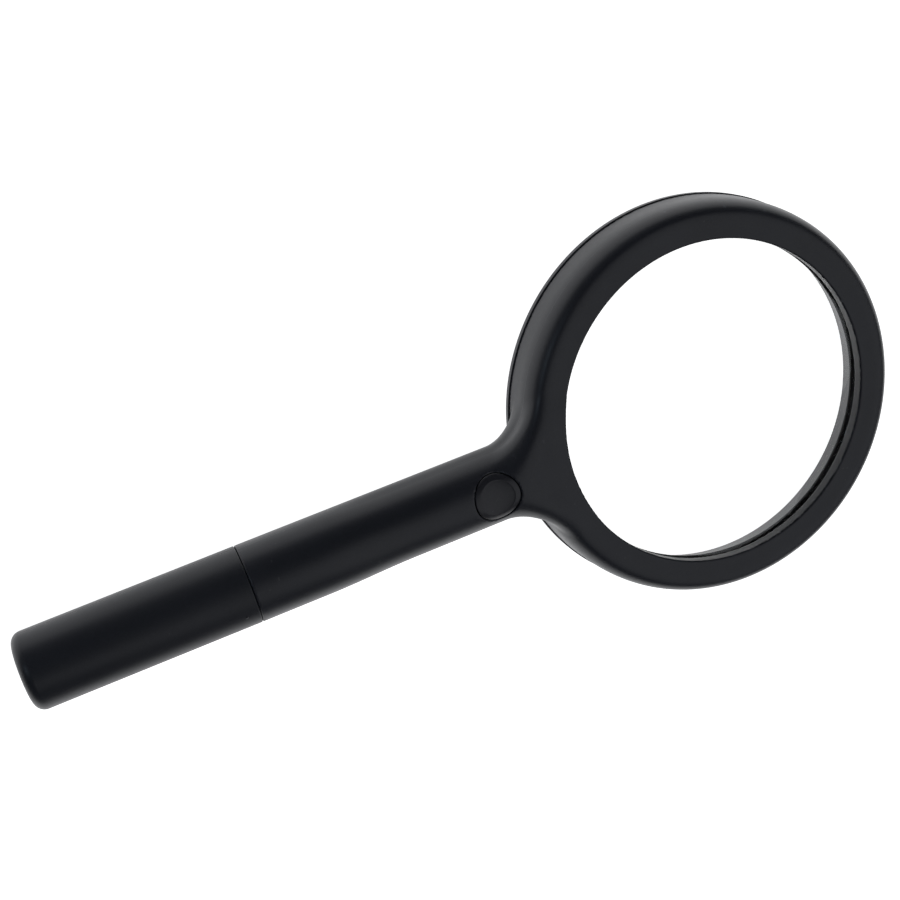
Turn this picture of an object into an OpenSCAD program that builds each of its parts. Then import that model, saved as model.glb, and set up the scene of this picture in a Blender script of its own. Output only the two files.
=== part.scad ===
// Illuminated hand magnifier for low-vision readers.
// A round lens in a moulded ring, a round hollow handle that is one moulding
// with the ring, two cells in line, a push switch at the neck and a lamp in
// the ring that shines down on the page.
// X runs along the handle towards the lens, Z is up (away from the page).
// The origin is the middle of the whole footprint, on the table top.

/* [Lens ring] */
// Clear opening of the ring at its front lip
lens_view_d = 90; // [88:0.5:91]
// Outside diameter of the ring
ring_od = 111; // [110:0.5:112]
// Depth of the ring along its axis
ring_depth = 16.1; // [15.2:0.1:16.4]
// Radius of the crowned outer part of the ring's face
ring_crown = 8.7; // [8:0.1:9.4]
// Depth of the joint line between the housing and the rear ring
ring_split = 14; // [13.2:0.1:14.1]

/* [Lens] */
// Radius of curvature of both lens faces
lens_curve_r = 245; // [240:1:320]
// Thickness of the lens where it meets the lip
lens_edge = 3.2; // [3.0:0.1:3.2]

/* [Handle] */
// Outside diameter of the handle and its cap
handle_d = 20.7; // [20.7:0.1:21.4]
// Distance from the lens axis to the joint line of the cap
seam_dist = 134; // [133:0.5:135]
// Distance from the lens axis to the end of the cap
end_dist = 192.8; // [192.6:0.1:196]
// Depth of the handle's axis below the ring's front lip
axis_depth = 6.47; // [6.4:0.01:6.5]
// Rounding at the end of the cap
end_round = 2.9; // [2:0.1:3.2]
// Radius of the neck's blends into the ring, seen from above
neck_fillet = 9; // [8:0.5:10]

/* [Push button] */
// Distance from the lens axis to the button's centre
button_dist = 67.2; // [67:0.1:67.6]
// Diameter of the button
button_d = 12.5; // [12:0.1:12.6]
// Gap round the button
button_gap = 0.2; // [0.15:0.05:0.25]

/* [Hidden] */

ri = lens_view_d / 2;
ro = ring_od / 2;
hr = handle_d / 2;
hz = -axis_depth;                 // handle axis, from the lip plane
bore_r = 7.5;                     // bore for the cells
pad_r = hr - 0.57;                // upper half of the handle at the button
x_mid = (end_dist - ro) / 2;      // half-way along the whole object
lift = hr - hz;                   // lip plane above the table

seat_z = -4.6;                    // lens seat under the lip
lens_r = ri + 2;                  // lens rim
tail_z = seat_z - lens_edge;      // back of the lens at the lip radius
lens_tail = tail_z + 0.375;       // back of the lens at its rim
cush_z = tail_z - 0.4;
spig_r = 8.9;                     // spigot that the cap goes over
spig_x = -(seam_dist + 11.9);     // end of the spigot
bore_x = -59;                     // closed end of the handle's bore
split_z = -ring_split;
rh = ro - 0.15;                   // the housing sits just inside the rear ring's edge
crown_r = ring_crown;
crown_x = rh - 6.75;               // where the flat face ends
edge_r = 3.4;                      // rounding between the face and the side wall
plate_z = split_z - 0.1;          // top of the rear ring's plate
nub_x = -82.4;                    // tip of the front cell
cell_l = 50.5;
cell_r = 7.1;
plate_x = -(end_dist - 2.4);      // inside face of the cap's end
bx = -button_dist;
board_z = hz - 3;                 // top of the circuit board
led_x = -50.6;
eps = 0.02;

// places a module given in lens coordinates (origin: lens axis, lip plane)
module put() translate([x_mid, 0, lift]) children();

// straight round bar along X from x0 to x1, at the handle's axis
module bar(x0, x1, ra, rb, fn = 96)
    translate([x0, 0, hz]) rotate([0, 90, 0])
        cylinder(h = x1 - x0, r1 = ra, r2 = rb, $fn = fn);

// box between two corners
module box(a, b) translate(a) cube(b - a);

// sweeps a round wire of radius r along the points p
function unit(v) = v / norm(v);
function tangent(p, i) = unit(p[min(i + 1, len(p) - 1)] - p[max(i - 1, 0)]);
function side(t, up) = unit(cross(t, up));
module wire(p, r, n, up) {
    m = len(p);
    pts = [for (i = [0:m - 1]) let (t = tangent(p, i), a = side(t, up), b = cross(t, a))
           for (k = [0:n - 1]) p[i] + r * (cos(360 * k / n) * a + sin(360 * k / n) * b)];
    faces = concat(
        [[for (k = [0:n - 1]) k]],
        [[for (k = [n - 1:-1:0]) (m - 1) * n + k]],
        [for (i = [0:m - 2]) for (k = [0:n - 1])
            [i * n + k, (i + 1) * n + k, (i + 1) * n + (k + 1) % n, i * n + (k + 1) % n]]);
    polyhedron(points = pts, faces = faces, convexity = 6);
}

// coil of wire radius w about Z: radius ra at z0 to rb at z1
module coil(ra, rb, z0, z1, turns, w, per = 20)
    wire([for (i = [0:turns * per]) let (s = i / (turns * per), a = 360 * i / per)
          [(ra + (rb - ra) * s) * cos(a), (ra + (rb - ra) * s) * sin(a), z0 + (z1 - z0) * s]],
         w, 8, [0, 0, 1]);

// rounded profile of the ring, front lip at z = 0, down to z = floor_z
module ring_outline(floor_z) {
    polygon(concat(
        [[ri, floor_z], [ri, -0.2], [ri + 0.2, 0], [crown_x, 0]],
        [for (a = [8:8:32]) [crown_x + crown_r * sin(a), -crown_r + crown_r * cos(a)]],
        [for (a = [43:11:87]) [crown_x + (crown_r - edge_r) * sin(32) + edge_r * sin(a),
                                   -crown_r + (crown_r - edge_r) * cos(32) + edge_r * cos(a)]],
        [[rh, floor_z]]));
}

// handle's outer form, the upper half a little lower towards the neck
module handle_form(x1) {
    bar(-seam_dist, -115, hr, hr);
    intersection() {
        bar(-115, x1, hr, hr - 0.03);
        union() {
            box([-115, -hr - 1, hz - hr - 1], [x1, hr + 1, hz]);
            bar(-115, -92, hr, pad_r);
            bar(-92, x1, pad_r, pad_r);
        }
    }
}

// plan of the neck: the handle's width, opening out into the ring
module neck_plan() {
    yc = hr + neck_fillet;
    xc = -sqrt(pow(ro + neck_fillet, 2) - yc * yc);
    kx = xc * ro / (ro + neck_fillet);
    ky = yc * ro / (ro + neck_fillet);
    difference() {
        polygon([[xc, -hr + 0.4], [xc, hr - 0.4], [xc, hr + 1], [kx, ky], [kx + 2.5, ky - 1],
                 [-46.5, 8], [-46.5, -8], [kx + 2.5, -ky + 1], [kx, -ky], [xc, -hr - 1]]);
        for (s = [-1, 1]) translate([xc, s * yc]) circle(r = neck_fillet, $fn = 96);
    }
}

module front_housing() put() color([0.11, 0.11, 0.12]) {
    difference() {
        union() {
            rotate_extrude($fn = 180) difference() {
                ring_outline(split_z);
                polygon([[ri - 1, seat_z], [lens_r + 0.1, seat_z], [lens_r + 0.1, split_z - 1], [ri - 1, split_z - 1]]);
                polygon([[lens_r + 1.3, -2.4], [ro - 3.6, -2.4], [ro - 2, -3.8], [ro - 2, split_z - 1], [lens_r + 1.3, split_z - 1]]);
                polygon([[lens_r, cush_z], [lens_r + 2, cush_z], [lens_r + 2, split_z - 1], [lens_r, split_z - 1]]);
            }
            // handle, cut back along the ring so the channel stays open
            difference() {
                union() {
                    handle_form(-46.4);
                    translate([0, 0, -13.2]) linear_extrude(13) neck_plan();
                }
                translate([0, 0, -20]) cylinder(h = 30, r = ro - 1, $fn = 180);
            }
            // saddle that brings the top of the handle down to the ring's face
            intersection() {
                handle_form(-46.4);
                difference() {
                    translate([0, 0, -2.3]) cylinder(h = 8, r = ro - 0.5, $fn = 180);
                    translate([0, 0, -3]) cylinder(h = 10, r = ri + 0.5, $fn = 180);
                }
            }
            bar(spig_x, -seam_dist + 1, spig_r, spig_r);
        }
        // slope from the handle's top to the lip
        translate([-58, -30, hz + pad_r]) rotate([0, 15.5, 0]) cube([12, 60, 20]);
        // bore for the cells and the switch carrier
        bar(spig_x - 1, bore_x, bore_r, bore_r);
        // groove for the negative strip
        box([spig_x - 1, -1.65, hz - 7.95], [bore_x, 1.65, hz - 7]);
        // hole for the push button
        translate([bx, 0, hz]) cylinder(h = 14, r = button_d / 2 + button_gap, $fn = 96);
        // duct for the lamp's wires
        box([bore_x - 1, -3.5, -8.2], [-52.6, 3.5, -3.2]);
        // seat for the rear ring
        translate([0, 0, -30]) cylinder(h = 30 + split_z, r = ro + 0.15, $fn = 180);
    }
}

module rear_ring() put() color([0.12, 0.12, 0.13]) {
    difference() {
        rotate_extrude($fn = 180) {
            polygon([[ri, cush_z], [lens_r, cush_z], [lens_r, plate_z], [ro, plate_z],
                     [ro, -ring_depth + 0.4], [ro - 0.4, -ring_depth], [ri + 0.6, -ring_depth]]);
            polygon([[ro - 3.4, -6.5], [ro - 2.1, -6.5], [ro - 2.1, plate_z - 0.5], [ro - 3.4, plate_z - 0.5]]);
        }
        // gap in the inner collar for the lamp
        box([-ro + 1.9, -5, plate_z], [-lens_r - 1, 5, -6]);
        // hole for the lamp window
        translate([led_x, 0, -ring_depth - 1]) cylinder(h = 6, r = 2.2, $fn = 48);
    }
}

module lens() put() color([0.8, 0.87, 0.9, 0.5]) {
    s = lens_curve_r - sqrt(lens_curve_r * lens_curve_r - ri * ri);
    intersection() {
        translate([0, 0, -20]) cylinder(h = 30, r = lens_r, $fn = 180);
        translate([0, 0, seat_z + s - lens_curve_r]) sphere(r = lens_curve_r, $fn = 360);
        translate([0, 0, tail_z - s + lens_curve_r]) sphere(r = lens_curve_r, $fn = 360);
    }
}

module lens_cushion() put() color([0.05, 0.05, 0.05])
    translate([0, 0, cush_z]) difference() {
        cylinder(h = 0.4, r = lens_r - 0.05, $fn = 180);
        translate([0, 0, -1]) cylinder(h = 3, r = ri + 0.15, $fn = 180);
    }

module push_button() put() color([0.14, 0.14, 0.15]) {
    intersection() {
        union() {
            translate([bx, 0, hz + 2.7]) cylinder(h = 10, r = button_d / 2, $fn = 96);
            translate([bx, 0, hz + 2]) cylinder(h = 0.72, r = 6.9, $fn = 96);
        }
        difference() {
            bar(-80, -50, pad_r - 0.03, pad_r - 0.03);
            difference() {
                translate([bx, 0, hz]) cylinder(h = 20, r = 4.7, $fn = 64);
                bar(-80, -50, pad_r - 0.3, pad_r - 0.3);
            }
        }
    }
}

module switch_plunger() put() color([0.85, 0.85, 0.82]) {
    translate([bx, 0, hz + 0.1]) cylinder(h = 1.9, r = 1.6, $fn = 48);
    translate([bx, 0, hz - 0.35]) cylinder(h = 0.5, r = 2.4, $fn = 48);
}

module switch_bridge() put() color([0.85, 0.66, 0.3])
    translate([bx, 0, hz - 0.55]) difference() {
        cylinder(h = 0.2, r = 2.3, $fn = 48);
        translate([0, 0, -1]) cylinder(h = 3, r = 0.6, $fn = 32);
    }

module switch_spring() put() color([0.7, 0.7, 0.72])
    translate([bx, 0, hz - 2.6 + 0.13]) coil(1.2, 1.2, 0, 2.05 - 0.26, 3.5, 0.13, 16);

module switch_case() put() color([0.08, 0.08, 0.09]) {
    difference() {
        box([bx - 4.25, -4.25, board_z], [bx + 4.25, 4.25, hz + 0.6]);
        translate([bx, 0, hz - 2.6]) cylinder(h = 2.8, r = 2.6, $fn = 48);
        translate([bx, 0, hz - 1]) cylinder(h = 4, r = 1.65, $fn = 48);
        for (s = [-1, 1]) box([bx + s * 2.15 - 0.35, -0.5, board_z - 1], [bx + s * 2.15 + 0.35, 0.5, hz - 2]);
    }
}

module switch_terminals() put() color([0.8, 0.78, 0.7])
    for (s = [-1, 1]) box([bx + s * 2.15 - 0.3, -0.45, board_z], [bx + s * 2.15 + 0.3, 0.45, hz - 1.62]);

module circuit_board() put() color([0.1, 0.35, 0.18])
    box([-79.3, -5.5, board_z - 1], [-59.6, 5.5, board_z]);

module resistor() put() color([0.12, 0.12, 0.12])
    box([-77.2, -0.8, board_z], [-74, 0.8, board_z + 0.6]);

module switch_carrier() put() color([0.75, 0.75, 0.72]) {
    difference() {
        union() {
            intersection() {
                bar(-79.9, -59.7, 7.4, 7.4);
                box([-80, -8, hz - 8], [-59, 8, board_z - 1]);
            }
            bar(-81.9, -79.9, 7.4, 7.4);
        }
        translate([-83, 0, hz]) rotate([0, 90, 0]) cylinder(h = 6, r = 1, $fn = 32);
        box([-76, -3.5, hz - 8], [-62, 3.5, board_z - 1.8]);
    }
}

module positive_contact() put() color([0.8, 0.78, 0.7]) {
    bar(nub_x, nub_x + 0.5, 3.5, 3.5, 48);
    bar(nub_x + 0.5, -79.4, 1, 1, 32);
    box([-79.8, -0.9, board_z], [-79.35, 0.9, hz]);
}

module negative_strip() put() color([0.8, 0.78, 0.7]) {
    box([spig_x, -1.5, hz - 7.9], [bore_x - 0.2, 1.5, hz - 7.55]);
    box([spig_x - 0.3, -1.5, hz - 8.8], [spig_x, 1.5, hz - 7.55]);
    box([bore_x - 0.5, -1.5, hz - 7.9], [bore_x - 0.2, 1.5, board_z]);
}

// round dry cell, positive tip at x = tip
module cell(tip) {
    translate([tip - cell_l, 0, hz]) rotate([0, 90, 0]) rotate_extrude($fn = 64)
        polygon([[0, 0], [4.6, 0], [4.6, 0.25], [6.4, 0.25], [cell_r - 0.2, 0.1], [cell_r, 0.4],
                 [cell_r, cell_l - 1.5], [cell_r - 0.25, cell_l - 1.2], [6.2, cell_l - 1.4], [5.2, cell_l - 1.2],
                 [2.75, cell_l - 1], [2.75, cell_l - 0.2], [2.55, cell_l], [0, cell_l]]);
}

module battery_front() put() color([0.35, 0.4, 0.45]) cell(nub_x);

module battery_rear() put() color([0.35, 0.4, 0.45]) cell(nub_x - cell_l);

module battery_cap() put() color([0.11, 0.11, 0.12]) {
    e = -end_dist;
    er = hr - 0.1;
    difference() {
        translate([0, 0, hz]) rotate([0, 90, 0]) rotate_extrude($fn = 96)
            polygon(concat(
                [[0, e], [er - end_round, e]],
                [for (a = [10:10:80]) [er - end_round + end_round * sin(a), e + end_round - end_round * cos(a)]],
                [[er, e + end_round], [hr, -seam_dist - 0.1], [spig_r + 0.05, -seam_dist - 0.1],
                 [spig_r + 0.05, spig_x - 0.4], [8, spig_x - 0.4], [8, plate_x - 0.05], [0, plate_x - 0.05]]));
        // coin slot across the end
        box([e - 1, -5.2, hz - 0.9], [e + 0.9, 5.2, hz + 0.9]);
    }
}

module contact_sleeve() put() color([0.78, 0.6, 0.3])
    difference() {
        bar(plate_x, spig_x - 0.35, 7.95, 7.95);
        bar(plate_x - 1, spig_x, 7.6, 7.6);
    }

module contact_plate() put() color([0.8, 0.78, 0.7])
    bar(plate_x, plate_x + 0.5, 7.58, 7.58, 64);

module contact_spring() put() color([0.75, 0.75, 0.77]) {
    l = (nub_x - 2 * cell_l) - (plate_x + 0.5);
    translate([plate_x + 0.5, 0, hz]) rotate([0, 90, 0])
        coil(5.6, 3, 0.46, l - 0.46, 3.5, 0.45, 20);
}

module lamp_led() put() color([0.95, 0.95, 0.85, 0.7]) {
    translate([led_x, 0, -6.2]) cylinder(h = 1, r = 1.9, $fn = 48);
    translate([led_x, 0, -9.2]) cylinder(h = 3.1, r = 1.5, $fn = 48);
    translate([led_x, 0, -9.2]) sphere(r = 1.5, $fn = 48);
}

module lamp_leads() put() color([0.8, 0.8, 0.8])
    for (s = [-1, 1]) box([led_x - 0.2, s * 1.1 - 0.2, -5.2], [led_x + 0.2, s * 1.1 + 0.2, -3.5]);

module lamp_board() put() color([0.1, 0.35, 0.18])
    difference() {
        box([-52.5, -4, -5], [-48.7, 4, -4.2]);
        for (s = [-1, 1]) box([led_x - 0.2, s * 1.1 - 0.2, -6], [led_x + 0.2, s * 1.1 + 0.2, -3]);
    }

module lamp_window() put() color([0.85, 0.9, 0.92, 0.6])
    translate([led_x, 0, -ring_depth + 0.2]) cylinder(h = 2, r = 2.18, $fn = 48);

// lamp wires, from the lamp board through the duct to the circuit board
module lamp_wire(s)
    wire([for (q = [[-50.6, 2.9, -3.76], [-51.4, 2.9, -3.75], [-52.2, 2.9, -3.8], [-54.5, 2.7, -4.6],
                    [-57, 2.5, -6.2], [-59.2, 2.4, -7.7], [-61, 2.4, -8.75], [-61.9, 2.4, board_z + 0.46], [-62.7, 2.4, board_z + 0.45]])
              [q[0], s * q[1], q[2]]], 0.42, 8, [0, 1, 0]);

module wire_positive() put() color([0.75, 0.1, 0.08]) lamp_wire(1);

module wire_negative() put() color([0.08, 0.08, 0.08]) lamp_wire(-1);

front_housing();
rear_ring();
lens();
lens_cushion();
push_button();
switch_plunger();
switch_bridge();
switch_spring();
switch_case();
switch_terminals();
circuit_board();
resistor();
switch_carrier();
positive_contact();
negative_strip();
battery_front();
battery_rear();
battery_cap();
contact_sleeve();
contact_plate();
contact_spring();
lamp_led();
lamp_leads();
lamp_board();
lamp_window();
wire_positive();
wire_negative();
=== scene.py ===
import math

import bpy
import numpy as np
from mathutils import Matrix, Vector


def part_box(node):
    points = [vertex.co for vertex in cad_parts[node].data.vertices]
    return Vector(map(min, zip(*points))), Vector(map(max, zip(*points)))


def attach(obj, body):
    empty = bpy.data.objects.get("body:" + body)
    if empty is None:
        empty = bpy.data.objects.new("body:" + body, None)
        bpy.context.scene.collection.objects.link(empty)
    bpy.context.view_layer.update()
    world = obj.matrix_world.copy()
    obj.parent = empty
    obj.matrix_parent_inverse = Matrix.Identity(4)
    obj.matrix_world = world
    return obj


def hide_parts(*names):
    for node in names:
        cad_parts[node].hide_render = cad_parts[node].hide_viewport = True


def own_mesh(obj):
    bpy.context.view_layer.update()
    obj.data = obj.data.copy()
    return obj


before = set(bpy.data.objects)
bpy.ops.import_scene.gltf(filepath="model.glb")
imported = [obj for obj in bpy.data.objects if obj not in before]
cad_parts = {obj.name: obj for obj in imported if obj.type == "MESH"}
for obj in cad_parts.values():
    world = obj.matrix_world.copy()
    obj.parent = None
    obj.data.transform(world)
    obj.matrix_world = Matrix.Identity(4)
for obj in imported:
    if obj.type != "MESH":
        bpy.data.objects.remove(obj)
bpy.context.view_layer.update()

# ---------------------------------------------------------------- the frame
# Everything below is worked in millimetres with the lens axis as origin and
# the ring's front lip as z = 0, then moved into the row frame in metres.
cap_lo, cap_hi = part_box("battery_cap")
lens_lo, lens_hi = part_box("lens")
AXIS_Z = (cap_lo.z + cap_hi.z) / 2                     # handle axis height
HZ = -6.47                                             # handle axis under the lip
ORG = Vector(((lens_lo.x + lens_hi.x) / 2, 0.0, AXIS_Z - HZ / 1000))
HR = 10.35
RI, RO, RH = 44.9, 55.5, 55.35
DEPTH, SPLIT = 16.1, 14.0
SEAT, LENS_R, TAIL = -4.6, 47.0, -7.8
CUSH = TAIL - 0.4
BORE = 7.5
PAD = HR - 0.57
BX, BR = -67.2, 6.25
SEAM = -134.0
END = -192.8
SPIG_R, SPIG_X = 8.9, -145.9
NUB, CELL_L = -82.4, 50.5


def to_row(p):
    p = np.asarray(p, float)
    return p / 1000.0 + np.array(ORG)


# ---------------------------------------------------------------- mesh tools
def smoothstep(a, b, x):
    t = np.clip((x - a) / (b - a), 0, 1)
    return t * t * (3 - 2 * t)


def smin(a, b, k):
    h = np.maximum(k - np.abs(a - b), 0) / k
    return np.minimum(a, b) - h * h * k * 0.25


def smax(a, b, k):
    return -smin(-a, -b, k)


def union_round(a, b, r):
    return np.maximum(r, np.minimum(a, b)) - np.hypot(np.maximum(r - a, 0), np.maximum(r - b, 0))


def inter_round(a, b, r):
    return np.minimum(-r, np.maximum(a, b)) + np.hypot(np.maximum(r + a, 0), np.maximum(r + b, 0))


def rbox2(px, py, bx, by, r):
    qx, qy = np.abs(px) - bx + r, np.abs(py) - by + r
    return np.minimum(np.maximum(qx, qy), 0) + np.hypot(np.maximum(qx, 0), np.maximum(qy, 0)) - r


def box3(X, Y, Z, lo, hi):
    c = [(a + b) / 2 for a, b in zip(lo, hi)]
    h = [(b - a) / 2 for a, b in zip(lo, hi)]
    return np.maximum(np.maximum(np.abs(X - c[0]) - h[0], np.abs(Y - c[1]) - h[1]), np.abs(Z - c[2]) - h[2])


def surface_nets(f, lo, hi, h):
    """Quads on the zero level of f(X, Y, Z), with the points brought onto the surface."""
    ax = [np.arange(lo[i], hi[i] + h, h, dtype=np.float32) for i in range(3)]
    n = [len(a) for a in ax]
    F = np.empty(n, np.float32)
    step = 48
    for i in range(0, n[0], step):
        X, Y, Z = np.meshgrid(ax[0][i:i + step], ax[1], ax[2], indexing="ij")
        F[i:i + step] = f(X, Y, Z)
    S = F < 0
    c = np.zeros([m - 1 for m in n], np.uint8)
    for dx in (0, 1):
        for dy in (0, 1):
            for dz in (0, 1):
                c += S[dx:n[0] - 1 + dx, dy:n[1] - 1 + dy, dz:n[2] - 1 + dz]
    act = np.argwhere((c > 0) & (c < 8))
    index = -np.ones(c.shape, np.int64)
    index[tuple(act.T)] = np.arange(len(act))
    P = np.zeros((len(act), 3))
    W = np.zeros(len(act))
    corners = [(dx, dy, dz) for dx in (0, 1) for dy in (0, 1) for dz in (0, 1)]
    for a in corners:
        for d in range(3):
            if a[d]:
                continue
            b = list(a)
            b[d] = 1
            ia = tuple((act + np.array(a)).T)
            ib = tuple((act + np.array(b)).T)
            fa, fb = F[ia], F[ib]
            m = (fa < 0) != (fb < 0)
            t = np.where(m, fa / np.where(m, fa - fb, 1), 0)
            q = np.array(a, float)[None] + t[:, None] * (np.array(b, float) - np.array(a, float))[None]
            P += np.where(m[:, None], q, 0)
            W += m
    P = (act + P / W[:, None]) * h + np.array(lo, float)
    quads = []
    for d in range(3):
        e1, e2 = [(1, 2), (2, 0), (0, 1)][d]
        sl0 = [slice(None)] * 3
        sl1 = [slice(None)] * 3
        sl0[d] = slice(0, n[d] - 1)
        sl1[d] = slice(1, n[d])
        for e in (e1, e2):
            sl0[e] = slice(1, n[e] - 1)
            sl1[e] = slice(1, n[e] - 1)
        s0, s1 = S[tuple(sl0)], S[tuple(sl1)]
        for flip, m in ((False, s0 & ~s1), (True, ~s0 & s1)):
            k = np.argwhere(m)
            if not len(k):
                continue
            k[:, e1] += 1
            k[:, e2] += 1

            def cell(o1, o2):
                q = k.copy()
                q[:, e1] -= o1
                q[:, e2] -= o2
                return index[tuple(q.T)]
            quad = np.stack([cell(1, 1), cell(0, 1), cell(0, 0), cell(1, 0)], 1)
            quads.append(quad[:, ::-1] if flip else quad)
    quads = np.concatenate(quads)
    P0 = P.copy()
    e = 0.02
    for _ in range(7):
        X, Y, Z = P.T
        d = f(X, Y, Z)
        g = np.stack([f(X + e, Y, Z) - f(X - e, Y, Z), f(X, Y + e, Z) - f(X, Y - e, Z), f(X, Y, Z + e) - f(X, Y, Z - e)], 1) / (2 * e)
        gn = (g * g).sum(1)
        s = d / np.maximum(gn, 0.15)
        s = np.clip(s, -0.4 * h, 0.4 * h)
        P = P - s[:, None] * g
        off = P - P0
        ln = np.linalg.norm(off, axis=1)
        P = P0 + off * np.minimum(1, 0.95 * h / np.maximum(ln, 1e-9))[:, None]
    return P, quads


def make_mesh(name, verts, faces, sharp=38.0, smooth=True):
    me = bpy.data.meshes.new(name)
    me.from_pydata([tuple(v) for v in verts], [], [tuple(int(i) for i in f) for f in faces])
    me.validate(clean_customdata=False)
    me.update()
    ob = bpy.data.objects.new(name, me)
    bpy.context.scene.collection.objects.link(ob)
    if smooth:
        me.shade_smooth()
        me.set_sharp_from_angle(angle=math.radians(sharp))
    return ob


def clean(ob, dist=1e-7):
    import bmesh
    bm = bmesh.new()
    bm.from_mesh(ob.data)
    bmesh.ops.remove_doubles(bm, verts=bm.verts, dist=dist)
    bmesh.ops.recalc_face_normals(bm, faces=bm.faces)
    bm.to_mesh(ob.data)
    bm.free()
    return ob


def fillet(points, radii, n=5):
    """Closed polygon with its corners rounded to the given radii."""
    out = []
    m = len(points)
    for i in range(m):
        p = np.array(points[i], float)
        r = radii[i]
        a = np.array(points[i - 1], float) - p
        b = np.array(points[(i + 1) % m], float) - p
        la, lb = np.linalg.norm(a), np.linalg.norm(b)
        if r <= 0:
            out.append(tuple(p))
            continue
        a, b = a / la, b / lb
        ang = math.acos(max(-1, min(1, float(a @ b))))
        if ang > math.pi - 1e-3:
            out.append(tuple(p))
            continue
        t = r / math.tan(ang / 2)
        t = min(t, 0.92 * la, 0.92 * lb)
        r = t * math.tan(ang / 2)
        bis = (a + b) / np.linalg.norm(a + b)
        c = p + bis * r / math.sin(ang / 2)
        s, e = p + a * t - c, p + b * t - c
        w = math.acos(max(-1, min(1, float(s @ e) / (r * r))))
        lead = min(0.12 * r, 0.03)
        if la - t > 4 * lead:
            out.append(tuple(p + a * (t + lead)))
        for k in range(n + 1):
            q = k / n
            v = (math.sin((1 - q) * w) * s + math.sin(q * w) * e) / math.sin(w)
            out.append(tuple(c + v))
        if lb - t > 4 * lead:
            out.append(tuple(p + b * (t + lead)))
    return out


def densify(profile, step, closed=True):
    out = []
    m = len(profile)
    for i in range(m if closed else m - 1):
        a, b = np.array(profile[i]), np.array(profile[(i + 1) % m])
        k = max(1, int(np.linalg.norm(b - a) / step))
        for j in range(k):
            out.append(tuple(a + (b - a) * j / k))
    if not closed:
        out.append(tuple(profile[-1]))
    return out


def lathe(name, profile, axis="Z", centre=(0, 0, 0), seg=256, sharp=38.0, closed=True):
    """Turns a closed (radius, height) profile about an axis through centre, in mm."""
    m = len(profile)
    ang = np.arange(seg) * 2 * math.pi / seg
    pr = np.array(profile, float)
    r, hgt = pr[:, 0][:, None], pr[:, 1][:, None]
    ca, sa = np.cos(ang)[None], np.sin(ang)[None]
    o = np.ones_like(ca)
    if axis == "Z":
        V = np.stack([r * ca, r * sa, hgt * o], -1)
    else:
        V = np.stack([hgt * o, r * ca, r * sa], -1)
    V = V.reshape(-1, 3) + np.array(centre, float)
    F = []
    for i in range(m if closed else m - 1):
        j = (i + 1) % m
        for k in range(seg):
            l = (k + 1) % seg
            F.append((i * seg + k, j * seg + k, j * seg + l, i * seg + l))
    ob = make_mesh(name, to_row(V), F, sharp, smooth=False)
    clean(ob, 2e-7)
    ob.data.shade_smooth()
    ob.data.set_sharp_from_angle(angle=math.radians(sharp))
    return ob


def boolean(ob, cutter, op="DIFFERENCE", sharp=38.0):
    m = ob.modifiers.new("cut", "BOOLEAN")
    m.object = cutter
    m.operation = op
    m.solver = "EXACT"
    bpy.context.view_layer.update()
    dg = bpy.context.evaluated_depsgraph_get()
    me = bpy.data.meshes.new_from_object(ob.evaluated_get(dg))
    ob.modifiers.clear()
    old = ob.data
    ob.data = me
    bpy.data.meshes.remove(old)
    bpy.data.objects.remove(cutter)
    ob.data.shade_smooth()
    ob.data.set_sharp_from_angle(angle=math.radians(sharp))
    return ob


def prism_x(name, outline, x0, x1):
    """Solid with a (y, z) outline, from x0 to x1, in mm."""
    m = len(outline)
    V = [(x0, y, z) for y, z in outline] + [(x1, y, z) for y, z in outline]
    F = [tuple(range(m))[::-1], tuple(range(m, 2 * m))]
    F += [(i, (i + 1) % m, m + (i + 1) % m, m + i) for i in range(m)]
    ob = make_mesh(name, to_row(V), F, smooth=False)
    return clean(ob)


# ---------------------------------------------------------------- materials
def new_mat(name):
    mt = bpy.data.materials.new(name)
    mt.use_nodes = True
    nt = mt.node_tree
    bsdf = nt.nodes["Principled BSDF"]
    return mt, nt, bsdf


def coords(nt, scale=(1, 1, 1)):
    tc = nt.nodes.new("ShaderNodeTexCoord")
    mp = nt.nodes.new("ShaderNodeMapping")
    mp.inputs["Scale"].default_value = scale
    nt.links.new(tc.outputs["Object"], mp.inputs["Vector"])
    return mp.outputs["Vector"]


def noise(nt, vec, scale, detail=2.0, rough=0.5):
    n = nt.nodes.new("ShaderNodeTexNoise")
    n.inputs["Scale"].default_value = scale
    n.inputs["Detail"].default_value = detail
    n.inputs["Roughness"].default_value = rough
    nt.links.new(vec, n.inputs["Vector"])
    return n.outputs["Fac"]


def ramp(nt, fac, stops):
    r = nt.nodes.new("ShaderNodeValToRGB")
    el = r.color_ramp.elements
    while len(el) < len(stops):
        el.new(0.5)
    for e, (p, c) in zip(el, stops):
        e.position = p
        e.color = (c, c, c, 1) if isinstance(c, (int, float)) else (*c, 1)
    nt.links.new(fac, r.inputs["Fac"])
    return r.outputs["Color"]


def math_node(nt, op, a, b=None, c=None, clamp=False):
    m = nt.nodes.new("ShaderNodeMath")
    m.operation = op
    m.use_clamp = clamp
    for i, v in enumerate((a, b, c)):
        if v is None:
            continue
        if isinstance(v, (int, float)):
            m.inputs[i].default_value = v
        else:
            nt.links.new(v, m.inputs[i])
    return m.outputs[0]


def maprange(nt, v, a, b, c, d):
    m = nt.nodes.new("ShaderNodeMapRange")
    m.inputs["From Min"].default_value = a
    m.inputs["From Max"].default_value = b
    m.inputs["To Min"].default_value = c
    m.inputs["To Max"].default_value = d
    nt.links.new(v, m.inputs["Value"])
    return m.outputs["Result"]


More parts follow.
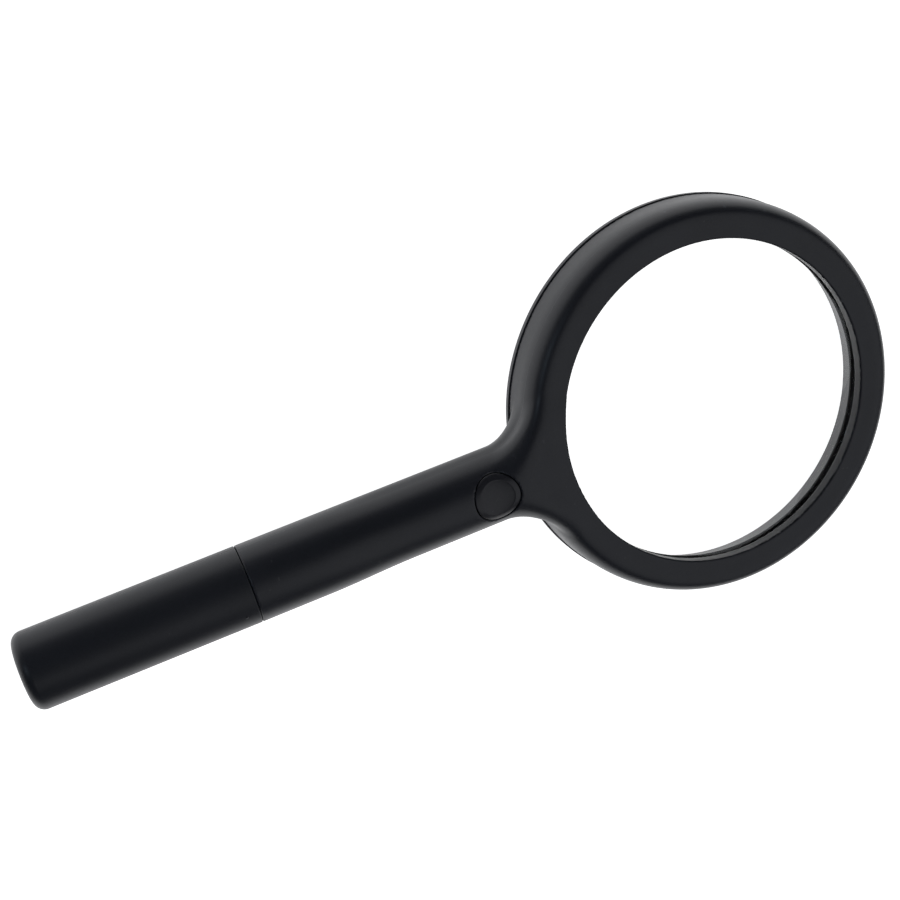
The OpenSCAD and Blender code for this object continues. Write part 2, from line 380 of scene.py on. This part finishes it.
def mix_rgb(nt, fac, a, b, mode="MIX"):
    m = nt.nodes.new("ShaderNodeMix")
    m.data_type = "RGBA"
    m.blend_type = mode
    for sock, v in ((m.inputs[0], fac), (m.inputs[6], a), (m.inputs[7], b)):
        if isinstance(v, (int, float)):
            sock.default_value = v
        elif isinstance(v, tuple):
            sock.default_value = (*v, 1)
        else:
            nt.links.new(v, sock)
    return m.outputs[2]


def bump(nt, height, strength, distance, normal=None):
    b = nt.nodes.new("ShaderNodeBump")
    b.inputs["Strength"].default_value = strength
    b.inputs["Distance"].default_value = distance
    nt.links.new(height, b.inputs["Height"])
    if normal is not None:
        nt.links.new(normal, b.inputs["Normal"])
    return b.outputs["Normal"]


def plastic(name, base, rough=(0.30, 0.40), grain=1.0, spec=0.30, edge_lighten=0.5, parting=None, dust=0.1, seed=0.0):
    """Satin moulded plastic: spark-eroded grain, slow sink waviness, handled sheen, lighter convex edges in patches, a
    little dust.
    """
    mt, nt, bs = new_mat(name)
    v = coords(nt)
    tc = v
    off = nt.nodes.new("ShaderNodeVectorMath")
    off.operation = "ADD"
    off.inputs[1].default_value = (seed, seed * 0.37, -seed * 0.71)
    nt.links.new(v, off.inputs[0])
    v = off.outputs[0]
    # colour: slightly uneven pigment, lighter on sharp convex edges in patches
    cloud = noise(nt, v, 38, 3, 0.55)
    fleck = noise(nt, v, 2600, 2, 0.6)
    tone = mix_rgb(nt, maprange(nt, cloud, 0.3, 0.7, 0.0, 1.0), tuple(c * 0.86 for c in base), tuple(c * 1.16 for c in base))
    tone = mix_rgb(nt, maprange(nt, fleck, 0.35, 0.7, 0.0, 0.22), tone, tuple(min(1, c * 1.9) for c in base))
    # sharp convex edges (high pointiness) made lighter in noise patches, scaled by edge_lighten
    geo = nt.nodes.new("ShaderNodeNewGeometry")
    edge = maprange(nt, geo.outputs["Pointiness"], 0.53, 0.60, 0.0, 1.0)
    edge_patches = noise(nt, v, 420, 4, 0.7)
    edge = math_node(nt, "MULTIPLY", edge, maprange(nt, edge_patches, 0.42, 0.62, 0.1, 1.0), clamp=True)
    edge = math_node(nt, "MULTIPLY", edge, edge_lighten, clamp=True)
    tone = mix_rgb(nt, edge, tone, tuple(min(1, c * 2.6 + 0.01) for c in base))
    speck = noise(nt, v, 900, 0, 0.5)
    speck2 = noise(nt, v, 47, 1, 0.5)
    sp = math_node(nt, "MULTIPLY", maprange(nt, speck, 0.80, 0.84, 0.0, 1.0), maprange(nt, speck2, 0.5, 0.62, 0.0, 1.0), clamp=True)
    sp = math_node(nt, "MULTIPLY", sp, dust, clamp=True)
    tone = mix_rgb(nt, sp, tone, (0.16, 0.16, 0.155))
    nt.links.new(tone, bs.inputs["Base Color"])
    # roughness: handled areas are smoother
    hand = noise(nt, v, 22, 3, 0.6)
    fine = noise(nt, v, 700, 2, 0.5)
    rg = maprange(nt, hand, 0.3, 0.7, rough[0], rough[1])
    rg = math_node(nt, "ADD", rg, maprange(nt, fine, 0.2, 0.8, -0.025, 0.025))
    rg = math_node(nt, "ADD", rg, math_node(nt, "MULTIPLY", sp, 0.3))
    nt.links.new(rg, bs.inputs["Roughness"])
    bs.inputs["Specular IOR Level"].default_value = spec
    bs.inputs["IOR"].default_value = 1.49
    # relief: fine grain and slow waviness
    g1 = noise(nt, v, 5200, 2, 0.6)
    n = bump(nt, g1, 0.16 * grain, 0.00003)
    g2 = noise(nt, v, 120, 1, 0.4)
    n = bump(nt, g2, 0.05, 0.0004, n)
    if parting:
        n = parting(nt, tc, n)
    nt.links.new(n, bs.inputs["Normal"])
    return mt


def line_z(height, width, depth, strength=1.0):
    """Fine raised or sunk line where the two halves of the mould met, at one height."""
    def f(nt, v, normal):
        sep = nt.nodes.new("ShaderNodeSeparateXYZ")
        nt.links.new(v, sep.inputs[0])
        wob = noise(nt, v, 60, 2, 0.5)
        z = math_node(nt, "SUBTRACT", sep.outputs["Z"], height)
        z = math_node(nt, "ADD", z, maprange(nt, wob, 0, 1, -width * 0.3, width * 0.3))
        d = math_node(nt, "ABSOLUTE", z)
        h = maprange(nt, d, 0, width, 1.0, 0.0)
        fade = maprange(nt, noise(nt, v, 35, 2, 0.5), 0.38, 0.60, 0.15, 1.0)
        h = math_node(nt, "MULTIPLY", h, fade, clamp=True)
        return bump(nt, h, strength, depth, normal)
    return f


def metal(name, base, rough=0.3, brushed=None, tarnish=(0.25, 0.2, 0.12)):
    mt, nt, bs = new_mat(name)
    v = coords(nt, brushed or (1, 1, 1))
    cl = noise(nt, v, 90, 4, 0.6)
    tone = mix_rgb(nt, maprange(nt, cl, 0.35, 0.75, 0.0, 0.35), base, tarnish)
    nt.links.new(tone, bs.inputs["Base Color"])
    bs.inputs["Metallic"].default_value = 1.0
    sc = noise(nt, v, 1500, 3, 0.6)
    nt.links.new(maprange(nt, sc, 0.3, 0.7, rough - 0.08, rough + 0.12), bs.inputs["Roughness"])
    nt.links.new(bump(nt, sc, 0.15, 0.00003), bs.inputs["Normal"])
    return mt


def simple_plastic(name, base, rough=0.4, vary=0.12, scale=300, bump_s=0.1):
    mt, nt, bs = new_mat(name)
    v = coords(nt)
    cl = noise(nt, v, scale, 3, 0.6)
    tone = mix_rgb(nt, maprange(nt, cl, 0.3, 0.7, 0, 1), tuple(c * (1 - vary) for c in base), tuple(min(1, c * (1 + vary)) for c in base))
    nt.links.new(tone, bs.inputs["Base Color"])
    fn = noise(nt, v, 2400, 2, 0.5)
    nt.links.new(maprange(nt, fn, 0.2, 0.8, rough - 0.06, rough + 0.06), bs.inputs["Roughness"])
    nt.links.new(bump(nt, fn, bump_s, 0.00004), bs.inputs["Normal"])
    return mt


def clear(name, tint=(1, 1, 1), ior=1.49, rough=0.0, smear=0.0):
    mt, nt, bs = new_mat(name)
    bs.inputs["Base Color"].default_value = (*tint, 1)
    bs.inputs["Transmission Weight"].default_value = 1.0
    bs.inputs["IOR"].default_value = ior
    v = coords(nt)
    if smear:
        s = noise(nt, v, 55, 5, 0.65)
        nt.links.new(maprange(nt, s, 0.45, 0.8, rough, rough + smear), bs.inputs["Roughness"])
        d = noise(nt, v, 1400, 1, 0.5)
        nt.links.new(bump(nt, d, 0.004, 0.00002), bs.inputs["Normal"])
    else:
        bs.inputs["Roughness"].default_value = rough
    return mt


def give(ob, *mats):
    ob.data.materials.clear()
    for m in mats:
        ob.data.materials.append(m)


Zr = ORG.z
M = {}
M["housing"] = plastic("housing_plastic", (0.0158, 0.0170, 0.0222), rough=(0.34, 0.41), seed=0.0,
                       parting=line_z(Zr - 0.0052, 0.00012, 0.00004, 0.5))
M["ring"] = plastic("ring_plastic", (0.0158, 0.0170, 0.0220), rough=(0.34, 0.41), seed=0.31)
M["cap"] = plastic("cap_plastic", (0.0150, 0.0162, 0.0212), rough=(0.37, 0.44), seed=0.57,
                   parting=line_z(AXIS_Z + 0.0001, 0.00016, -0.00012, 0.9))
M["button"] = plastic("button_plastic", (0.0166, 0.0168, 0.0212), rough=(0.30, 0.38), grain=0.7, seed=0.83)
M["lens"] = clear("lens_glass", (0.995, 1.0, 0.998), 1.49)
M["window"] = clear("window_plastic", (0.97, 0.99, 1.0), 1.49, 0.02, 0.05)
M["led"] = clear("led_epoxy", (1.0, 0.97, 0.82), 1.53, 0.03, 0.03)
M["rubber"] = simple_plastic("cushion_rubber", (0.02, 0.02, 0.02), 0.7)
M["switch"] = simple_plastic("switch_plastic", (0.02, 0.02, 0.022), 0.35)
M["white"] = simple_plastic("white_plastic", (0.66, 0.65, 0.60), 0.45, 0.05)
M["brass"] = metal("contact_brass", (0.80, 0.60, 0.30), 0.28, (1, 12, 12))
M["steel"] = metal("spring_steel", (0.62, 0.62, 0.63), 0.25)
M["tin"] = metal("tinned_metal", (0.74, 0.73, 0.70), 0.30, (12, 1, 1))
M["board"] = simple_plastic("board_laminate", (0.03, 0.16, 0.07), 0.3, 0.2, 900)
M["wire_red"] = simple_plastic("wire_red", (0.50, 0.03, 0.02), 0.45)
M["wire_black"] = simple_plastic("wire_black", (0.015, 0.015, 0.015), 0.45)
M["jacket"] = simple_plastic("cell_jacket", (0.045, 0.06, 0.085), 0.24, 0.1, 120, 0.05)
M["jacket2"] = simple_plastic("cell_band", (0.60, 0.60, 0.58), 0.26, 0.05, 120, 0.05)


# ---------------------------------------------------------------- front housing
def handle_radius(X, yy, zz):
    """Outer radius of the handle: round, its upper half a little lower from the grip to the neck."""
    rad = np.hypot(yy, zz) + 1e-6
    s = smoothstep(-115, -92, X)
    t = smoothstep(-0.25, 0.22, zz / rad)
    return HR - (HR - PAD) * s * t, rad


def housing(X, Y, Z):
    rho = np.hypot(X, Y)
    # flat lip, crowned outer face, tight edge, slightly tapered side wall
    face = np.hypot(np.maximum(rho - 48.5, 0), np.maximum(Z + 8.35, 0)) - 8.7
    wall = rho - (RH - (Z + SPLIT) * 0.045)
    ring = smax(face, wall, 3.4)
    ring = np.maximum(ring, -SPLIT - Z)
    zz = Z - HZ
    R, rad = handle_radius(X, Y, zz)
    hnd = smax(rad - R, X + 47.0, 2.0)
    hnd = smax(hnd, SEAM - X, 0.45)
    Rf = 9.0 + 3.5 * smoothstep(-6.5, 0.0, Z) - 6.4 * smoothstep(-10.5, -16.0, Z)
    body = union_round(ring, hnd, Rf)
    # even slope from the handle's top down to the lip
    slope = smax(0.2773 * (rho - 45.3), 0.0 * rho + 0.35, 0.8)
    body = smax(body, (Z - slope) * 0.96, 2.6)
    # seat of the rear ring
    body = np.maximum(body, -np.maximum(rho - (RO + 0.15), Z + SPLIT))
    # lens opening, with a small radius at the lip
    body = inter_round(body, RI - 0.06 * (Z + 4) - rho, 0.42)
    body = np.maximum(body, -np.maximum(rho - (RI + 1.2), np.abs(Z + 4.25) - 0.40))
    # lens seat and pocket
    body = np.maximum(body, -np.maximum(rho - (LENS_R + 0.1), Z - SEAT))
    body = np.maximum(body, -np.maximum(rho - (LENS_R + 1.4), Z - CUSH))
    # channel behind the face
    body = np.maximum(body, -rbox2(rho - 50.825, Z + 9.4, 2.525, 7.0, 0.6))
    # spigot for the cap
    spig = np.maximum(np.maximum(rad - SPIG_R, SPIG_X - X), X - SEAM - 1)
    spig = smax(spig, SPIG_X - X, 0.5)
    body = np.minimum(body, spig)
    # bore, strip groove, wire duct
    body = np.maximum(body, -np.maximum(rad - BORE, X + 59.0))
    body = np.maximum(body, -box3(X, Y, Z, (-150, -1.65, HZ - 7.95), (-59, 1.65, HZ - 7)))
    body = np.maximum(body, -box3(X, Y, Z, (-60, -3.5, -8.2), (-52.6, 3.5, -3.2)))
    # button hole
    hole = np.maximum(np.hypot(X - BX, Y) - (BR + 0.2), HZ - Z)
    body = smax(body, -hole, 0.35)
    return body


H = 0.42
P, Q = surface_nets(housing, (-147.0, -56.0, -17.6), (56.0, 56.0, 5.0), H)
front = make_mesh("front_housing_shell", to_row(P), Q, 40)
give(front, M["housing"])
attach(front, "handle")
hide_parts("front_housing")

# ---------------------------------------------------------------- rear ring
pl = -(SPLIT + 0.1)
prof = fillet(
    [(RI, CUSH), (LENS_R, CUSH), (LENS_R, pl), (RO - 3.4, pl), (RO - 3.4, -6.5), (RO - 2.1, -6.5), (RO - 2.1, pl),
     (RO, pl), (RO, -DEPTH), (RI + 0.6, -DEPTH)],
    [0.15, 0.1, 0.2, 0.2, 0.2, 0.2, 0.1, 0.25, 0.4, 0.35], 4)
rear = lathe("rear_ring_turned", prof, seg=360)
hole = lathe("window_hole", [(0, -17), (2.2, -17), (2.2, -12), (0, -12)], centre=(-50.6, 0, 0), seg=48)
rear = boolean(rear, hole)
V = [(x, y, z) for x in (-RO + 1.9, -LENS_R - 1) for y in (-5, 5) for z in (pl + 0.0, -6)]
notch = make_mesh("notch", to_row(V), [(0, 1, 3, 2), (4, 6, 7, 5), (0, 4, 5, 1), (2, 3, 7, 6), (0, 2, 6, 4), (1, 5, 7, 3)], smooth=False)
rear = boolean(rear, clean(notch))
give(rear, M["ring"])
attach(rear, "handle")
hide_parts("rear_ring")

# ---------------------------------------------------------------- lens
RC = 245.0
sag0 = RC - math.sqrt(RC * RC - RI * RI)
half = []
for k in range(61):
    r = LENS_R * k / 60
    half.append((r, SEAT + sag0 - (RC - math.sqrt(RC * RC - r * r))))
back = []
for k in range(60, -1, -1):
    r = LENS_R * k / 60
    back.append((r, TAIL - sag0 + (RC - math.sqrt(RC * RC - r * r))))
prof = half[:-1] + [(LENS_R - 0.15, half[-1][1] + 0.01), (LENS_R, half[-1][1] - 0.15), (LENS_R, back[0][1] + 0.15), (LENS_R - 0.15, back[0][1] - 0.01)] + back[1:]
lens = lathe("lens_biconvex", prof, seg=256, closed=False)
give(lens, M["lens"])
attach(lens, "handle")
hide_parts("lens")

# ---------------------------------------------------------------- push button
def surf(y):
    return HZ + np.sqrt(np.maximum((PAD - 0.05) ** 2 - y * y, 0))


def button_mesh():
    seg = 160
    ang = np.arange(seg) * 2 * math.pi / seg
    top = [(0.0, -0.50)]
    for k in range(1, 25):
        r = 4.45 * k / 24
        top.append((r, -0.50 * (1 - (r / 4.45) ** 2) - 0.10))
    top += [(4.55, -0.085), (4.64, -0.02), (4.74, 0.015), (4.9, 0.02)]
    for k in range(1, 9):
        r = 4.9 + 1.08 * k / 8
        top.append((r, 0.02 - 0.05 * (k / 8) ** 2))
    for k in range(1, 9):
        a = math.pi / 2 * k / 8
        top.append((BR - 0.25 + 0.25 * math.sin(a), -0.03 - 0.25 * (1 - math.cos(a))))
    rings = []
    for r, o in top[1:]:
        x, y = r * np.cos(ang), r * np.sin(ang)
        rings.append(np.stack([BX + x, y, surf(y) + o], 1))
    for r, z in ((BR, HZ + 2.95), (BR + 0.05, HZ + 2.8), (6.75, HZ + 2.72), (6.9, HZ + 2.6), (6.9, HZ + 2.15), (6.78, HZ + 2.0), (0.5, HZ + 2.0)):
        x, y = r * np.cos(ang), r * np.sin(ang)
        rings.append(np.stack([BX + x, y, np.full(seg, z)], 1))
    V = [np.array([[BX, 0, surf(0.0) + top[0][1] - 0.10]])] + rings
    V = np.concatenate(V)
    F = [(0, 1 + k, 1 + (k + 1) % seg) for k in range(seg)]
    for i in range(len(rings) - 1):
        a, b = 1 + i * seg, 1 + (i + 1) * seg
        for k in range(seg):
            l = (k + 1) % seg
            F.append((a + k, b + k, b + l, a + l))
    last = 1 + (len(rings) - 1) * seg
    F.append(tuple(last + k for k in range(seg))[::-1])
    ob = make_mesh("push_button_cap", to_row(V), F, 38, smooth=False)
    clean(ob)
    ob.data.shade_smooth()
    ob.data.set_sharp_from_angle(angle=math.radians(50))
    return ob


button = button_mesh()
give(button, M["button"])
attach(button, "button")
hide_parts("push_button")

# ---------------------------------------------------------------- battery cap
er = HR - 0.1
prof = [(SPIG_R + 0.05, SEAM - 0.1), (HR, SEAM - 0.1), (er, END), (7.0, END), (6.7, END + 0.35), (0, END + 0.35), (0, -190.45), (8.0, -190.45), (8.0, SPIG_X - 0.4), (SPIG_R + 0.05, SPIG_X - 0.4)]
prof = fillet(prof, [0.25, 0.3, 2.9, 0.22, 0.2, 0, 0, 0.3, 0.1, 0.1], 9)
prof = densify(prof, 6.0)
cap = lathe("battery_cap_turned", prof, axis="X", centre=(0, 0, HZ), seg=256)
# coin slot with round ends across the end face
out = []
for s in (1, -1):
    for k in range(13):
        a = math.pi * k / 12
        out.append(((4.3 + 0.9 * math.sin(a)) * s, 0.9 * math.cos(a) * s + HZ))
slot = prism_x("coin_slot", out, END - 1, END + 1.3)
cap = boolean(cap, slot)
# small index nib by the joint line
th = math.radians(25.7)
nib = lathe("nib", [(0, 0.14), (0.2, 0.12), (0.36, 0.05), (0.45, -0.1), (0, -0.1)], seg=24, closed=True)
nib.data.transform(Matrix.Translation(-ORG))
nib.data.transform(Matrix.Rotation(th, 4, "X"))
nib.data.transform(Matrix.Translation(ORG + Vector((-137.6, -HR * math.sin(th), HZ + HR * math.cos(th) - 0.0)) / 1000))
cap = boolean(cap, nib, "UNION")
give(cap, M["cap"])
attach(cap, "cap")
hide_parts("battery_cap")


# ---------------------------------------------------------------- cells
def cell(name, tip, node):
    t = tip - CELL_L
    prof = [(0, t + 0.0), (4.6, t), (4.75, t + 0.25), (6.3, t + 0.3), (6.45, t + 0.12), (6.9, t + 0.1), (7.1, t + 0.35),
            (7.1, tip - 1.55), (6.9, tip - 1.25), (6.3, tip - 1.3), (6.1, tip - 1.42), (5.1, tip - 1.42), (4.9, tip - 1.05), (2.75, tip - 1.0), (2.75, tip - 0.25), (2.5, tip), (0, tip)]
    r = [0, 0.1, 0.1, 0.05, 0.05, 0.1, 0.2, 0.25, 0.2, 0.08, 0.08, 0.1, 0.15, 0.2, 0.15, 0.2, 0]
    prof = densify(fillet(prof, r, 3), 2.0, closed=False)
    ob = lathe(name, prof, axis="X", centre=(0, 0, HZ), seg=96, closed=False)
    give(ob, M["jacket"], M["tin"], M["jacket2"])
    c = np.array(ORG) * 1000
    for p in ob.data.polygons:
        q = (np.array(p.center) * 1000 - c)
        rr = math.hypot(q[1], q[2] - HZ)
        if rr < 6.35:
            p.material_index = 1
        elif t + 6.5 < q[0] < t + 10.5:
            p.material_index = 2
    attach(ob, "handle")
    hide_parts(node)
    return ob


cell("front_cell", NUB, "battery_front")
cell("rear_cell", NUB - CELL_L, "battery_rear")


# ---------------------------------------------------------------- springs
def coil(name, node, body, centre, axis, ra, rb, l0, l1, turns, wire, mat, flat=0.75):
    per, ws = 40, 12
    n = int(turns * per)
    V, F = [], []
    pts = []
    for i in range(n + 1):
        s = i / n
        a = 2 * math.pi * turns * s
        r = ra + (rb - ra) * s
        e = flat / turns
        h = l0 + (l1 - l0) * min(1, max(0, (s - e) / (1 - 2 * e)))
        p = (r * math.cos(a), r * math.sin(a), h)
        pts.append(np.array((p[2], p[0], p[1]) if axis == "X" else p) + np.array(centre))
    up = np.array((1, 0, 0) if axis == "X" else (0, 0, 1), float)
    for i, p in enumerate(pts):
        t = pts[min(i + 1, n)] - pts[max(i - 1, 0)]
        t /= np.linalg.norm(t)
        a = np.cross(t, up)
        a /= np.linalg.norm(a)
        b = np.cross(t, a)
        for k in range(ws):
            w = 2 * math.pi * k / ws
            V.append(p + wire * (math.cos(w) * a + math.sin(w) * b))
    for i in range(n):
        for k in range(ws):
            l = (k + 1) % ws
            F.append((i * ws + k, i * ws + l, (i + 1) * ws + l, (i + 1) * ws + k))
    F.append(tuple(range(ws))[::-1])
    F.append(tuple(n * ws + k for k in range(ws)))
    ob = make_mesh(name, to_row(V), F, 60, smooth=False)
    clean(ob)
    ob.data.shade_smooth()
    give(ob, mat)
    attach(ob, body)
    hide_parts(node)
    return ob


plate = -190.4 + 0.5
tail_x = NUB - 2 * CELL_L
coil("cap_contact_coil", "contact_spring", "cap_contacts", (plate, 0, HZ), "X", 5.6, 3.0, 0.46, tail_x - plate - 0.46, 3.5, 0.45, M["steel"])

# the switch's spring stands on the case floor; in the switch it shortens as the button goes in, here it is one fixed
# coil with a mesh of its own
sw = coil("switch_return_coil", "switch_spring", "handle", (BX, 0, HZ - 2.6), "Z", 1.2, 1.2, 0.13, 1.92, 3.5, 0.13, M["steel"])
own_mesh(sw)

# ---------------------------------------------------------------- carried-over nodes
KEEP = {
    "lens_cushion": "rubber", "switch_plunger": "white", "switch_bridge": "brass",
    "switch_case": "switch", "switch_terminals": "tin", "circuit_board": "board", "resistor": "switch",
    "switch_carrier": "white", "positive_contact": "tin", "negative_strip": "tin", "contact_sleeve": "brass",
    "contact_plate": "tin", "lamp_led": "led", "lamp_leads": "tin", "lamp_board": "board", "lamp_window": "window",
    "wire_positive": "wire_red", "wire_negative": "wire_black",
}
for node, mat in KEEP.items():
    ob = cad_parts[node]
    if not ob.data.materials:
        ob.data.materials.append(M[mat])
    for i in range(len(ob.material_slots)):
        ob.material_slots[i].link = "OBJECT"
        ob.material_slots[i].material = M[mat]

# ---------------------------------------------------------------- floor
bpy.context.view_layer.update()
fl = make_mesh("floor", [(-9, -9, 0), (9, -9, 0), (9, 9, 0), (-9, 9, 0)], [(0, 1, 2, 3)], smooth=False)
fl.location = (0, 0, -0.00005)
mt, nt, bs = new_mat("floor_paper")
v = coords(nt)
f1 = noise(nt, v, 900, 3, 0.5)
tone = mix_rgb(nt, maprange(nt, f1, 0.3, 0.7, 0, 1), (0.80, 0.80, 0.80), (0.83, 0.83, 0.83))
nt.links.new(tone, bs.inputs["Base Color"])
bs.inputs["Roughness"].default_value = 0.85
bs.inputs["Specular IOR Level"].default_value = 0.1
bs.inputs["Emission Color"].default_value = (1, 1, 1, 1)
bs.inputs["Emission Strength"].default_value = 1.08
give(fl, mt)

# ---------------------------------------------------------------- camera
cam_data = bpy.data.cameras.new("camera")
cam = bpy.data.objects.new("camera", cam_data)
bpy.context.scene.collection.objects.link(cam)
right = Vector((0.90948583, -0.27257082, 0.31391189))
up = Vector((0.35709932, 0.89882299, -0.25416))
back = Vector((-0.21287463, 0.34325264, 0.91480163))
m = Matrix.Identity(4)
for i in range(3):
    m[i][0], m[i][1], m[i][2] = right[i], up[i], back[i]
place = ORG + Vector((-151.063, 138.791, 326.729)) / 1000
m[0][3], m[1][3], m[2][3] = place
cam.matrix_world = m
cam_data.sensor_width = 36.0
cam_data.lens = 1401.2 / 900 * 36.0
cam_data.clip_start = 0.01
cam_data.clip_end = 40
bpy.context.scene.camera = cam


# ---------------------------------------------------------------- light
def area(name, loc, target, size, power, color=(1, 1, 1), size_y=None, spread=180):
    ld = bpy.data.lights.new(name, "AREA")
    ld.energy = power
    ld.color = color
    ld.shape = "RECTANGLE" if size_y else "SQUARE"
    ld.size = size
    if size_y:
        ld.size_y = size_y
    ld.spread = math.radians(spread)
    ob = bpy.data.objects.new(name, ld)
    bpy.context.scene.collection.objects.link(ob)
    d = Vector(target) - Vector(loc)
    ob.location = loc
    ob.rotation_euler = d.to_track_quat("-Z", "Y").to_euler()
    return ob


area("softbox_top", (0.58, -0.46, 1.18), (0, 0, 0), 1.8, 8.6, (0.94, 0.96, 1.0))
area("softbox_back", (0.42, 0.95, 0.07), (0.06, 0.05, 0), 1.0, 0.17, (0.96, 0.96, 1.0), size_y=0.12)
area("strip_cool", (-0.75, 0.42, 0.78), (0.07, 0, 0), 0.16, 0.8, (0.66, 0.83, 1.0), size_y=0.40)

w = bpy.data.worlds.new("studio")
bpy.context.scene.world = w
w.use_nodes = True
bg = w.node_tree.nodes["Background"]
bg.inputs["Color"].default_value = (1, 1, 1, 1)
bg.inputs["Strength"].default_value = 0.035

bpy.context.scene.view_settings.view_transform = "Standard"
bpy.context.scene.view_settings.look = "None"
